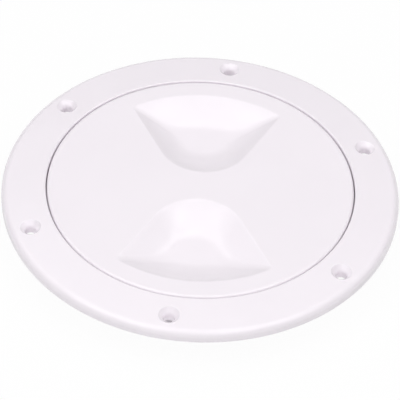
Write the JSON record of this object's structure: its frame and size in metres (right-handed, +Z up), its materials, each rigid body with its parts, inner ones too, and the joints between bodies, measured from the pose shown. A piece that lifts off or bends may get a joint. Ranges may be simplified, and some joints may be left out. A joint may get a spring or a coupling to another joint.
{
  "type": "deck inspection plate",
  "caption": "Round screw-in access plate for a deck: a flanged ring with countersunk screw holes, a threaded lid with two finger recesses, and a rubber seal.",
  "frame": {"origin": "on the plate's axis, in the plane of the deck that the flange lies on", "axes": "+Z up out of the deck, along the axis that the lid turns about; +Y along the closed lid's two finger recesses"},
  "size_m": [0.198, 0.198, 0.0245],
  "materials": {
    "ring_plastic": "moulded, glossy white",
    "lid_plastic": "moulded, glossy white",
    "seal_rubber": "smooth black rubber"
  },
  "bodies": {
    "ring": {"deck_ring": "ring_plastic"},
    "seal": {"seal_ring": "seal_rubber"},
    "lid": {"screw_lid": "lid_plastic"}
  },
  "joints": [
    {"name": "lid_rise", "type": "slide", "parent": "ring", "child": "seal", "axis": [0, 0, 1], "range_m": [0, 0.0193]},
    {"name": "lid_turn", "type": "hinge", "parent": "seal", "child": "lid", "pos_m": [0, 0, 0], "axis": [0, 0, 1], "range_deg": [0, 864]}
  ],
  "couplings": [
    {"joint": "lid_rise", "follows": "lid_turn", "m_per_rad": 0.0012732}
  ]
}
